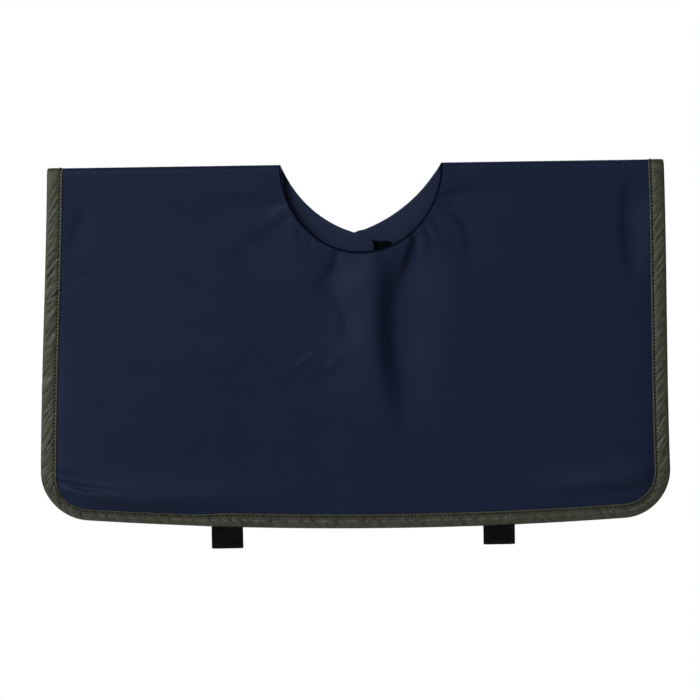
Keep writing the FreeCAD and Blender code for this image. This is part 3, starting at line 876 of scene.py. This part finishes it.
def thread_cloth(name, colour):
    """Twisted thread: slanting strands around it."""
    paint = Paint(name, {"Specular IOR Level": 0.15, "Roughness": 0.7})
    grain = paint.noise(0.4)
    paint.colour(grain, (0.3, tuple(c * 0.75 for c in colour)), (0.7, colour))
    paint.bumps((paint.wave(0, STRAND_PITCH), 0.05))
    return paint.material


def webbing_cloth():
    """Black nylon webbing in a herringbone."""
    paint = Paint("webbing", {"Specular IOR Level": 0.06, "Roughness": 0.6})
    cloud = paint.noise(6 * MM, 4)
    paint.colour(cloud, (0.3, (0.0014, 0.0015, 0.0016)), (0.7, (0.0034, 0.0035, 0.0038)))
    apart = paint.node("ShaderNodeSeparateXYZ", {"Vector": paint.flat}).outputs[1]
    zigzag = paint.math("PINGPONG", apart, 2.6 * MM)
    paint.bumps((paint.wave(0, 1.5 * MM, zigzag), 0.16), (paint.wave(1, 0.9 * MM), 0.06),
                (cloud, 0.12))
    return paint.material


def tape_cloth(name, colour):
    """The woven ground of a touch-close tape."""
    paint = Paint(name, {"Specular IOR Level": 0.04, "Roughness": 0.75})
    paint.colour(paint.noise(4 * MM, 4), (0.3, tuple(c * 0.6 for c in colour)), (0.7, colour))
    paint.bumps((paint.noise(1.2 * MM, 4), 0.15), (paint.weave(0.8 * MM, 0.8 * MM), 0.06))
    return paint.material


def lead_rubber():
    """Lead-loaded vinyl: matt grey sheet with a faint calender grain."""
    paint = Paint("lead_vinyl", {"Specular IOR Level": 0.3})
    cloud = paint.noise(20 * MM, 5)
    paint.colour(cloud, (0.3, (0.055, 0.055, 0.058)), (0.7, (0.085, 0.085, 0.088)))
    paint.roughness(paint.noise(6 * MM), 0.65, 0.8)
    paint.bumps((paint.noise(1.5 * MM, 3), 0.05))
    return paint.material


COVER_CLOTH = coated_cloth("cover_fabric", (0.0070, 0.0130, 0.0350), (0.0081, 0.0142, 0.0374), 0.09)
# The lining is lighter than the cover: partly a paler lining cloth, partly painted light that lifts the
# inside of the neck where the front's edge shades it.
LINING_CLOTH = coated_cloth("lining_fabric", (0.0135, 0.0205, 0.0470), (0.0150, 0.0225, 0.0500), 0.09)
BINDING_CLOTH = binding_cloth()
BINDING_THREAD = thread_cloth("binding_thread", (0.004, 0.0045, 0.004))
WEBBING = webbing_cloth()
WEBBING_THREAD = thread_cloth("webbing_thread", (0.005, 0.005, 0.006))
# The near-black cloth of the strip round the front neckline is painted shade: it stands in for the shadow
# line between the front's edge and the lining behind.
NECK_SHADE_CLOTH = coated_cloth("neck_shade_cloth", (0.0014, 0.0026, 0.0090), (0.0017, 0.0031, 0.0105), 0.02)
HOOK_TAPE = tape_cloth("hook_tape", (0.0016, 0.0020, 0.0050))
LOOP_TAPE = tape_cloth("loop_tape", (0.0024, 0.0028, 0.0060))
CLOSURE_THREAD = thread_cloth("closure_thread", (0.004, 0.005, 0.011))
LEAD_VINYL = lead_rubber()


# ---------------------------------------------------------------- baking the pieces' placement

def over_fold(item):
    """Bakes item's placement into its mesh.
    """
    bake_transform(item)


def over_front_fold(item):
    over_fold(item)


def over_left_fold(item):
    over_fold(item)


def over_right_fold(item):
    over_fold(item)


def over_lapel(item):
    """Bakes item's placement into its mesh; the peel joint's foot and axis are read but not used."""
    joint = JOINTS["nape_closure_peel"]
    foot, line = Vector(joint["pos_m"]), Vector(joint["axis"]).normalized()
    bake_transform(item)


# ---------------------------------------------------------------- panels

def carried_over(line, before=None, after=None):
    """A neckline with what follows it over the crest, so that both sides round off alike."""
    parts = [line]
    if before is not None:
        parts.insert(0, over_crest(before)[::-1])
    if after is not None:
        parts.append(over_crest(after))
    return np.vstack(parts)


def over_crest(line):
    """The first few points of a line, turned over to the other side of the crest."""
    return line[1:5] * (1, -1)


def flat_opening(side, inset=0.0):
    radius = FRONT_FOLD if side < 0 else RIGHT_FOLD
    return spaced(flattened(back_opening(side, inset), radius), FINE * 1.3)


def flat_front_neck(inset=0.0):
    return spaced(flattened(front_neck(inset), FRONT_FOLD), FINE * 1.3)


def front_outline(edge_inset, neck_inset):
    edge = spaced(flattened(edge_line(edge_inset), FRONT_FOLD), COARSE)
    neck = flat_front_neck(neck_inset)
    return joined(edge, crest_run(edge[-1, 0], neck[-1, 0]), neck[::-1],
                  crest_run(neck[0, 0], edge[0, 0]))


def left_outline(edge_inset, open_inset):
    edge = spaced(flattened(edge_line(edge_inset, -1, open_inset), FRONT_FOLD), COARSE)
    opening = flat_opening(-1, open_inset)
    return joined(edge, opening[::-1], crest_run(opening[0, 0], edge[0, 0]))


def right_lines(edge_inset, open_inset):
    edge = spaced(flattened(edge_line(edge_inset, 1, open_inset), RIGHT_FOLD), COARSE)
    return edge, flat_opening(1, open_inset)


def right_outline(edge_inset, open_inset):
    edge, opening = [past_v(line, BAND) for line in right_lines(edge_inset, open_inset)]
    return joined(opening, edge, crest_run(edge[-1, 0], opening[0, 0], BAND))


def right_band_outline(edge_inset, open_inset):
    edge, opening = [before_v(line, BAND) for line in right_lines(edge_inset, open_inset)]
    return joined(opening, crest_run(opening[-1, 0], edge[0, 0], BAND), edge,
                  crest_run(edge[-1, 0], opening[0, 0]))


def finely(drape, neck_low, neck_high, neck_deep, low_left=False):
    """Which parts of a blank are cut finely: round the neck, along the binding, and where asked."""
    edge = flattened(edge_line(0), drape.radius)

    def wanted(points):
        x, v = points.T
        neck = (x > neck_low) & (x < neck_high) & (v < neck_deep)
        corner = (v > 0.32) & (x < 0.05) & low_left
        return neck | corner | (near_line(points, edge)[0] < BINDING_WIDTH * 2)
    return wanted


def declare(blank, slot, nodes, rests_on):
    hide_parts(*nodes)
    blank.size()
    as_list(rests_on)


def panel(name, drape, outline, fine, turned, bend, nodes, whole=True):
    """The layers of one panel: cover, lining and, unless it is the band, two lead plies."""
    cover = Blank(outline(PANEL_INSET, 0), COARSE, fine, turned)
    inner_calm = ramp(near_line(cover.flat, turned)[0], 2 * MM, PLY_OPEN_INSET)
    layers = [
        ("cover_cloth", cover, COVER_DEPTHS, COVER_CLOTH, "cover_fabric", "cover", 0.0),
        ("lining_cloth", cover, LINING_DEPTHS, LINING_CLOTH, "lining_fabric", "lining", inner_calm)]
    if whole:
        ply = Blank(outline(PLY_INSET, PLY_OPEN_INSET), PLY_GAP)
        layers += [
            ("outer_ply", ply, OUTER_PLY_DEPTHS, LEAD_VINYL, "lead_vinyl", "lead_ply_outer", 1.0),
            ("inner_ply", ply, INNER_PLY_DEPTHS, LEAD_VINYL, "lead_vinyl", "lead_ply_inner", 1.0)]
    tape = f"{name if whole else nodes[0]}_binding_tape"
    under = {"cover_cloth": name + ("_outer_ply" if whole else "_lining_cloth"),
             "outer_ply": name + "_inner_ply", "inner_ply": name + "_lining_cloth",
             "lining_cloth": tape}
    for part, blank, depths, material, slot, node, calm in layers:
        item = sheet_layer(f"{name}_{part}", blank, drape, depths, material, UNDER_BINDING, calm)
        bend(item)
        declare(blank, slot, [f"{each}_{node}" for each in nodes], under[part])


front_line = flat_front_neck()
left_line, right_line = flat_opening(-1), flat_opening(1)
panel("front", FRONT, front_outline, finely(FRONT, -0.19, 0.215, 0.33, True),
      carried_over(front_line, left_line, right_line), over_front_fold, ["front"])
panel("back_left", LEFT, left_outline, finely(LEFT, -0.11, 0.03, 0.13),
      carried_over(left_line, front_line), over_left_fold, ["back_left"])
panel("back_right", RIGHT, right_outline, finely(RIGHT, -0.02, 0.12, 0.13),
      carried_over(right_line, front_line[::-1]), over_lapel, ["back_right", "nape_corner"])
panel("shoulder_band", RIGHT, right_band_outline, finely(RIGHT, 0, 0.12, 0.13),
      carried_over(right_line, front_line[::-1]), over_right_fold, ["back_right"], whole=False)


# ---------------------------------------------------------------- binding

BINDING_SECTION = [
    (17.0, 0.05), (17.0, 0.55), (16.6, 1.00), (16.0, 1.15), (15.3, 0.95), (14.7, 0.50), (14.2, 0.32),
    (13.6, 0.50), (12.8, 0.90), (12.0, 1.08), (11.2, 1.25), (10.4, 1.35), (9.6, 1.42), (8.8, 1.45),
    (8.0, 1.46), (7.2, 1.45), (6.4, 1.42), (5.6, 1.37), (4.8, 1.30), (4.0, 1.20), (3.2, 1.08),
    (2.4, 0.93), (1.6, 0.75), (0.9, 0.48), (0.3, 0.15), (-0.3, -0.65), (-0.45, -1.45),
    (-0.3, -2.25), (0.3, -2.85), (1.6, -3.15), (3.6, -3.25), (8.0, -3.30), (12.8, -3.25),
    (14.2, -3.05), (15.3, -3.20), (16.6, -3.25),
    (17.0, -3.10), (17.0, -2.85), (14.0, -2.80), (8.0, -2.70), (2.6, -2.45), (1.0, -2.1),
    (0.5, -1.45), (1.0, -0.8), (2.6, -0.45), (8.0, -0.20), (14.0, -0.10)]
STITCH_FLOOR = 0.32 * MM
BACK_STITCH_FLOOR = -3.05 * MM


def binding(name, drape, side, bend):
    """The binding tape along one panel's edge, and the stitches that hold it on both faces."""
    rail = Rail(edge_line(0, side), drape)
    tape = swept(f"{name}_binding_tape", rail, BINDING_SECTION, BINDING_CLOTH)
    bend(tape)
    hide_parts(f"{name}_binding")
    faces = [seam(rail, STITCH_INSET, surface, STITCH_PITCH, STITCH_LENGTH, 41)
             for surface in (STITCH_FLOOR, BACK_STITCH_FLOOR)]
    starts, ends, ups = [np.vstack(each) for each in zip(*faces)]
    sewn = threads(f"{name}_binding_stitches", starts, ends, ups, STITCH_THICK, STITCH_BOW,
                   BINDING_THREAD)
    bend(sewn)
    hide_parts(f"{name}_binding_stitching")


# The section of that strip of painted shade: a thin roll round the front neckline's edge.
NECK_SHADE_SECTION = [
    (2.2, 0.08), (1.7, 0.14), (1.0, 0.12), (0.45, -0.14), (0.05, -0.65), (-0.12, -1.45),
    (0.05, -2.25), (0.45, -2.76), (1.0, -3.04), (1.9, -3.00), (1.9, -2.90), (1.0, -2.85),
    (0.5, -2.4), (0.2, -1.45), (0.5, -0.5), (1.0, -0.05), (2.2, 0.0)]


def painted_neck_shade():
    """A strip rolled round the front neckline's edge in near-black cloth: painted shade for the shadow
    line between the front's edge and the lining behind it.
    """
    hem = swept("front_painted_neck_shade", Rail(front_neck()[::-1], FRONT), NECK_SHADE_SECTION, NECK_SHADE_CLOTH)
    over_front_fold(hem)
    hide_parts("front_cover")


binding("front", FRONT, 0, over_front_fold)
binding("back_left", LEFT, -1, over_left_fold)
binding("back_right", RIGHT, 1, over_right_fold)
painted_neck_shade()


# ---------------------------------------------------------------- closure tapes

GROUND_THICK = 0.5 * MM
CLOSURE_SEAM = (2.5 * MM, 3 * MM, 1.9 * MM)    # inset, pitch and length of its stitches

def rounded_pad(name, low, high, material, wavy=0.0):
    """A thin tape, flat across y, with its edges eased and its upper edge cut a little unevenly."""
    gap = 0.8 * MM
    xs = np.linspace(low.x, high.x, int((high.x - low.x) / gap))
    zs = np.linspace(low.z, high.z, int((high.z - low.z) / gap))
    grid_x, grid_z = [each.ravel() for each in np.meshgrid(xs, zs, indexing="ij")]
    edge = np.minimum(np.minimum(grid_x - low.x, high.x - grid_x),
                      np.minimum(grid_z - low.z, high.z - grid_z))
    half = (high.y - low.y) / 2 * (0.35 + 0.65 * ramp(edge, -0.3 * MM, 0.9 * MM))
    rise = (grid_z - low.z) / (high.z - low.z)
    uneven = ripple(np.column_stack([grid_x, np.zeros(len(grid_x))]), 31, 14 * MM, wavy, 5)
    grid_z = grid_z + uneven * rise ** 3
    middle = (low.y + high.y) / 2
    rows, count = len(zs), len(grid_x)
    verts = np.vstack([np.column_stack([grid_x, middle + half * way, grid_z]) for way in (-1, 1)])
    faces = []
    for a in range(len(xs) - 1):
        for b in range(rows - 1):
            k = a * rows + b
            faces.append((k, k + rows, k + rows + 1, k + 1))
            faces.append((k + 1 + count, k + rows + 1 + count, k + rows + count, k + count))
    ring = [k * rows for k in range(len(xs))]
    ring += [(len(xs) - 1) * rows + k for k in range(1, rows)]
    ring += [k * rows + rows - 1 for k in range(len(xs) - 2, -1, -1)]
    ring += [k for k in range(rows - 2, 0, -1)]
    for a, b in zip(ring, ring[1:] + ring[:1]):
        faces.append((a, a + count, b + count, b))
    flat = np.tile(np.column_stack([grid_x, grid_z]), (2, 1))
    return new_object(name, verts, faces, material, flat, tidy=True)


def pile(name, low, high, y, way, pitch, height, step, share, wild, seed, material):
    """Many small arches of thread over a tape: hooks where share is under 1, else loops."""
    draw = random.Random(seed)
    starts, reach = [], []
    edge = 1.1 * MM
    for row, z in enumerate(np.arange(low.z + edge, high.z - edge, pitch)):
        for x in np.arange(low.x + edge + pitch * 0.5 * (row % 2), high.x - edge, pitch):
            off = [draw.uniform(-1, 1) * pitch * wild for _ in range(2)]
            turn = draw.uniform(-math.pi, math.pi) * min(1, wild * 2)
            starts.append((x + off[0], y, z + off[1]))
            reach.append((step * math.cos(turn), 0, step * math.sin(turn)))
    starts, reach = np.array(starts), np.array(reach)
    ups = np.tile((0.0, way, 0.0), (len(starts), 1))
    return threads(name, starts, starts + reach, ups, 0.2 * MM, height, material, share, 4, 6)


def box_seam(low, high, y, way):
    """Stitches round a rectangle, a little in from a tape's edges."""
    inset, pitch, length = CLOSURE_SEAM
    starts, ends = [], []
    x0, x1, z0, z1 = low.x + inset, high.x - inset, low.z + inset, high.z - inset
    corners = [(x0, z0), (x1, z0), (x1, z1), (x0, z1), (x0, z0)]
    for (ax, az), (bx, bz) in zip(corners, corners[1:]):
        run = math.hypot(bx - ax, bz - az)
        ux, uz = (bx - ax) / run, (bz - az) / run
        for k in range(int(run / pitch)):
            at = (k + 0.5) * run / int(run / pitch)
            for out, move in ((starts, -length / 2), (ends, length / 2)):
                out.append((ax + ux * (at + move), y, az + uz * (at + move)))
    return np.array(starts), np.array(ends), np.tile((0.0, way, 0.0), (len(starts), 1))


def closure_tape(node, body, material, pad_way, sewn_faces, wavy, pile_of):
    """One half of the touch closure, with its pile and the seam round it."""
    low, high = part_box(node)
    ground_low, ground_high = low.copy(), high.copy()
    if pad_way < 0:
        ground_low.y = high.y - GROUND_THICK
    else:
        ground_high.y = low.y + GROUND_THICK
    ground = rounded_pad(node.replace("tape", "ground"), ground_low, ground_high, material, wavy)
    top = ground_low.y if pad_way < 0 else ground_high.y
    rooted = top - pad_way * 0.05 * MM
    fur = pile(node.replace("tape", "pile"), low, high, rooted, pad_way, *pile_of, material)
    for item in (ground, fur):
        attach(item, body)
        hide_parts(node)
    seams = [box_seam(low, high, y, way) for y, way in sewn_faces(top, pad_way)]
    starts, ends, ups = [np.vstack(each) for each in zip(*seams)]
    sewn = threads(node.replace("tape", "stitches"), starts, ends, ups, 0.5 * MM, 0.2 * MM,
                   CLOSURE_THREAD)
    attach(sewn, body)
    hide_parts(node + "_stitching")


def tape_face_only(top, way):
    return [(top + way * 0.1 * MM, way)]


def both_faces(top, way):
    return [(top + way * 0.1 * MM, way), (RIGHT_FOLD, 1)]


closure_tape("nape_corner_hook_tape", "nape_corner", HOOK_TAPE, -1, both_faces, 0.7 * MM,
             (1.5 * MM, 0.42 * MM, 0.45 * MM, 0.74, 0.06, 61))
closure_tape("back_left_loop_tape", "back_left", LOOP_TAPE, 1, tape_face_only, 0.2 * MM,
             (1.1 * MM, 0.42 * MM, 0.9 * MM, 1.0, 0.5, 67))


# ---------------------------------------------------------------- webbing loops

BIGHT = [(-0.65, 26), (-0.65, 14), (-0.65, 2), (-0.75, -2), (-2.2, -7), (-4.3, -11.5), (-4.7, -15.6),
         (-3.1, -18.6), (0, -19.75), (3.1, -18.6), (4.7, -15.6), (4.3, -11.5), (2.2, -7),
         (0.75, -2), (0.65, 2), (0.65, 14), (0.65, 26)]
WEBBING_THICK = 1.3 * MM


def webbing_loop(side):
    """A strip of webbing sewn behind the hem and folded into a loop below it."""
    loop_low, loop_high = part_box(side + "_hanger_loop")
    pivot = Vector(JOINTS[side + "_loop_swing"]["pos_m"])
    path = smooth_line(BIGHT, 8) * MM + (pivot.y, pivot.z)
    path = spaced(path, 0.9 * MM)
    run = np.gradient(path, axis=0)
    run /= np.linalg.norm(run, axis=1)[:, None]
    normal = np.column_stack([-run[:, 1], run[:, 0]])
    half = WEBBING_THICK / 2
    wide = (loop_high.x - loop_low.x) / 2
    middle = (loop_high.x + loop_low.x) / 2
    across = np.linspace(-1, 1, 19)
    top = [(wide * t, half * (1 - 0.6 * abs(t) ** 12)) for t in across]
    section = np.array(top + [(x, -h) for x, h in reversed(top)])
    along = lengths_along(path)
    draw = random.Random(side)
    sway = [draw.uniform(-0.35, 0.35) * MM for _ in range(4)]
    verts, flat = [], []
    for k, spot in enumerate(path):
        swing = sum(each * math.sin(along[k] * 45 * (n + 1)) for n, each in enumerate(sway))
        for x, h in section:
            y, z = spot + normal[k] * h
            verts.append((middle + x + swing * 0.4, y, z))
            flat.append((x, along[k]))
    faces = ring_faces(len(path), len(section))
    strip = new_object(side + "_webbing", verts, faces, WEBBING, flat, tidy=True)
    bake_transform(strip)
    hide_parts(side + "_loop_tails", side + "_hanger_loop")


def bar_tack(side):
    """The dense zigzag of thread that fixes a strip of webbing behind the hem."""
    low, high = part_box(side + "_loop_bar_tack")
    xs = np.arange(low.x + 0.4 * MM, high.x - 0.4 * MM, 0.62 * MM)
    y = low.y + 0.05 * MM
    starts = np.column_stack([xs, np.full(len(xs), y), np.full(len(xs), low.z + 0.2 * MM)])
    ends = starts + (0.5 * MM, 0, high.z - low.z - 0.4 * MM)
    ups = np.tile((0.0, 1.0, 0.0), (len(xs), 1))
    sewn = threads(side + "_bar_tack_thread", starts, ends, ups, 0.42 * MM, 0.2 * MM, WEBBING_THREAD)
    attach(sewn, "front")
    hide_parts(side + "_loop_bar_tack")


for side in ("left", "right"):
    webbing_loop(side)
    bar_tack(side)


# ---------------------------------------------------------------- studio

VIEW_DISTANCE = 4.0
VIEW_WIDTH = 0.777
VIEW_CENTRE = Vector((-9.1 * MM, -FRONT_FOLD, -204.1 * MM))
VIEW_ROLL = 0.88


def plain(name, colour):
    paint = bpy.data.materials.new(name)
    paint.use_nodes = True
    shader = paint.node_tree.nodes["Principled BSDF"]
    shader.inputs["Base Color"].default_value = (*colour, 1)
    shader.inputs["Roughness"].default_value = 0.9
    shader.inputs["Specular IOR Level"].default_value = 0.1
    return paint


def floor():
    """A plain pale floor well below the hanging cape."""
    half, low = 3.0, -1.3
    verts = [(-half, -half, low), (half, -half, low), (half, half, low), (-half, half, low)]
    item = new_object("floor", verts, [(0, 1, 2, 3)], plain("floor_paper", (0.85, 0.85, 0.85)))
    item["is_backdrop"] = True


def pale_surroundings(scene):
    """White all round to the eye, and only a little light from it."""
    world = bpy.data.worlds.new("studio")
    scene.world = world
    world.use_nodes = True
    tree = world.node_tree
    seen, lit = tree.nodes["Background"], tree.nodes.new("ShaderNodeBackground")
    seen.inputs["Color"].default_value = lit.inputs["Color"].default_value = (1, 1, 1, 1)
    seen.inputs["Strength"].default_value = 1.0
    lit.inputs["Strength"].default_value = 0.07
    path, mix = tree.nodes.new("ShaderNodeLightPath"), tree.nodes.new("ShaderNodeMixShader")
    tree.links.new(path.outputs["Is Camera Ray"], mix.inputs[0])
    tree.links.new(lit.outputs[0], mix.inputs[1])
    tree.links.new(seen.outputs[0], mix.inputs[2])
    tree.links.new(mix.outputs[0], tree.nodes["World Output"].inputs["Surface"])


def softbox(name, place, size, power):
    light = bpy.data.lights.new(name, "AREA")
    light.shape = "RECTANGLE"
    light.size, light.size_y = size
    light.energy = power
    item = bpy.data.objects.new(name, light)
    item.location = place
    item.rotation_euler = (VIEW_CENTRE - Vector(place)).to_track_quat("-Z", "Y").to_euler()
    bpy.context.scene.collection.objects.link(item)


def studio():
    scene = bpy.context.scene
    floor()
    pale_surroundings(scene)
    softbox("key", (-2.7, -2.5, 2.1), (2.0, 1.8), 205)
    softbox("fill", (2.6, -3.2, 0.4), (1.6, 1.6), 12)
    softbox("back", (1.5, 3.0, 1.2), (1.6, 1.6), 60)
    scene.view_settings.view_transform = "Standard"
    lens = bpy.data.cameras.new("camera")
    lens.lens = lens.sensor_width * VIEW_DISTANCE / VIEW_WIDTH
    lens.clip_end = 60
    camera = bpy.data.objects.new("camera", lens)
    camera.location = VIEW_CENTRE - Vector((0, VIEW_DISTANCE, 0))
    camera.rotation_euler = (math.radians(90), math.radians(VIEW_ROLL), 0)
    scene.collection.objects.link(camera)
    scene.camera = camera


studio()

# ---------------------------------------------------------------- finish

sizes = {"cad": CAD_BOX, "visual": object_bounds()}
{key: [list(corner) for corner in corners] for key, corners in sizes.items()}
